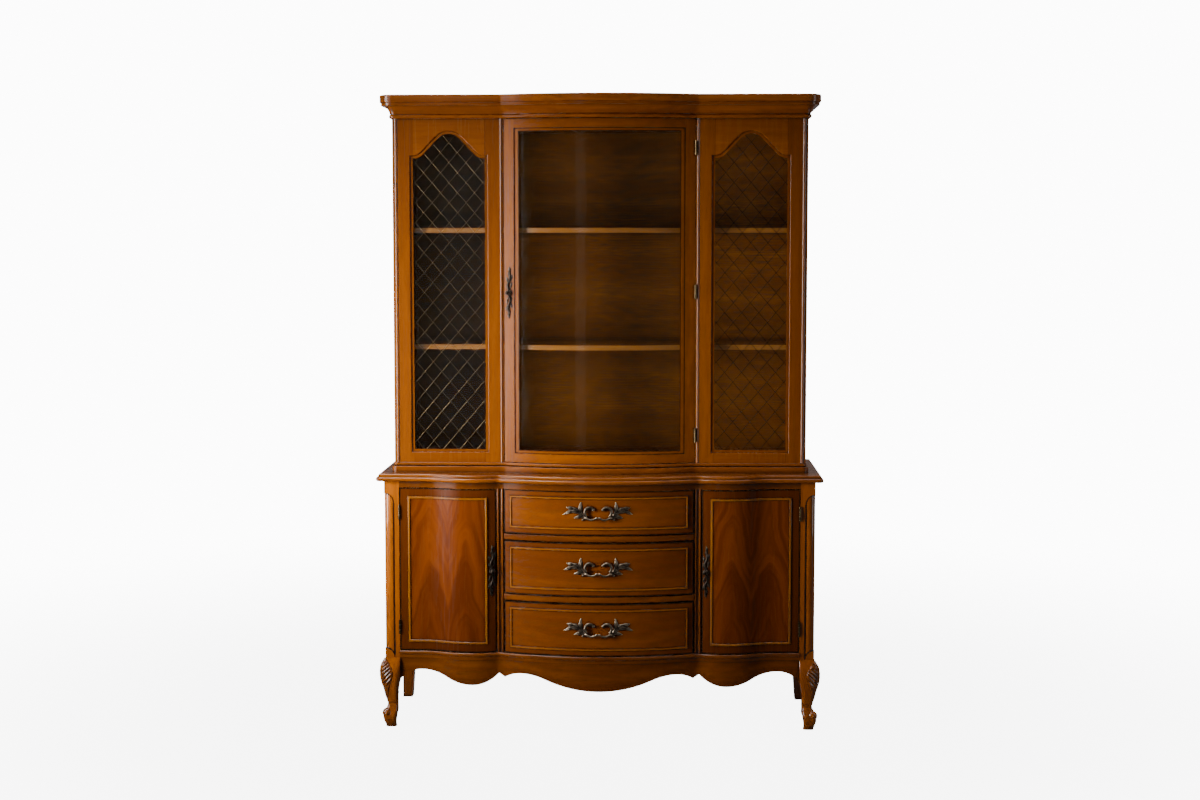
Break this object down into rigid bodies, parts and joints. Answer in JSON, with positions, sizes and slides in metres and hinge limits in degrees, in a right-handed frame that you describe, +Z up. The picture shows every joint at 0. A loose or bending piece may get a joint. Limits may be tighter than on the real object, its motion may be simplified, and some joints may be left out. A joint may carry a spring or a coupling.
{
  "type": "china hutch",
  "caption": "China hutch with a bowed glass door and latticed side lights on a serpentine buffet with doors and drawers on cabriole legs.",
  "frame": {"origin": "on the floor under the middle of the bounding box", "axes": "+X to the viewer's right, +Y to the back, +Z up"},
  "size_m": [1.37, 0.527, 1.946],
  "materials": {
    "case_wood": "glossy varnish",
    "crotch_veneer": "glossy varnish on flame veneer",
    "inner_wood": "satin",
    "drawer_wood": "raw",
    "glass": "clear",
    "brass_wire": "satin",
    "aged_bronze": "aged, bright on the high spots",
    "hinge_brass": "satin"
  },
  "bodies": {
    "cabinet": {"cornice_board": "case_wood", "cornice_moulding": "case_wood", "hutch_ceiling": "inner_wood", "hutch_side_left": "case_wood", "hutch_side_right": "case_wood", "hutch_posts": "case_wood", "hutch_mullions": "case_wood", "hutch_back": "inner_wood", "hutch_floor": "case_wood", "hutch_base_board": "case_wood", "side_frame_left": "case_wood", "side_frame_right": "case_wood", "side_glass": "glass", "wire_lattice": "brass_wire", "hutch_shelf_upper": "inner_wood", "hutch_shelf_lower": "inner_wood", "shelf_pins": "hinge_brass", "hutch_hinge_fixed_leaves": "hinge_brass", "buffet_top": "case_wood", "corner_post_left": "case_wood", "corner_post_right": "case_wood", "rear_leg_left": "case_wood", "rear_leg_right": "case_wood", "buffet_side_left": "case_wood", "buffet_side_right": "case_wood", "buffet_back": "inner_wood", "buffet_floor": "inner_wood", "partition_left": "inner_wood", "partition_right": "inner_wood", "dividers": "case_wood", "top_rail": "case_wood", "drawer_rails": "case_wood", "base_moulding": "case_wood", "apron": "case_wood", "drawer_runners": "drawer_wood", "buffet_hinge_fixed_leaves": "hinge_brass"},
    "hutch_door": {"hutch_door_stiles": "case_wood", "hutch_door_rails": "case_wood", "hutch_door_glass": "glass", "hutch_door_hinge_leaves": "hinge_brass", "hutch_door_pull": "aged_bronze"},
    "left_door": {"left_door_panel": "crotch_veneer", "left_door_bead": "case_wood", "left_door_hinge_leaves": "hinge_brass", "left_door_pull": "aged_bronze"},
    "right_door": {"right_door_panel": "crotch_veneer", "right_door_bead": "case_wood", "right_door_hinge_leaves": "hinge_brass", "right_door_pull": "aged_bronze"},
    "drawer_upper": {"drawer_upper_front": "case_wood", "drawer_upper_box": "drawer_wood", "drawer_upper_pull": "aged_bronze"},
    "drawer_middle": {"drawer_middle_front": "case_wood", "drawer_middle_box": "drawer_wood", "drawer_middle_pull": "aged_bronze"},
    "drawer_lower": {"drawer_lower_front": "case_wood", "drawer_lower_box": "drawer_wood", "drawer_lower_pull": "aged_bronze"}
  },
  "joints": [
    {"name": "hutch_door_hinge", "type": "hinge", "parent": "cabinet", "child": "hutch_door", "pos_m": [0.2933, -0.12074, 1.349], "axis": [0, 0, 1], "range_deg": [0, 105]},
    {"name": "left_door_hinge", "type": "hinge", "parent": "cabinet", "child": "left_door", "pos_m": [-0.6152, -0.1652, 0.495], "axis": [0, 0, -1], "range_deg": [0, 105]},
    {"name": "right_door_hinge", "type": "hinge", "parent": "cabinet", "child": "right_door", "pos_m": [0.6152, -0.1652, 0.495], "axis": [0, 0, 1], "range_deg": [0, 105]},
    {"name": "drawer_upper_slide", "type": "slide", "parent": "cabinet", "child": "drawer_upper", "axis": [0, -1, 0], "range_m": [0, 0.28]},
    {"name": "drawer_middle_slide", "type": "slide", "parent": "cabinet", "child": "drawer_middle", "axis": [0, -1, 0], "range_m": [0, 0.28]},
    {"name": "drawer_lower_slide", "type": "slide", "parent": "cabinet", "child": "drawer_lower", "axis": [0, -1, 0], "range_m": [0, 0.28]}
  ]
}
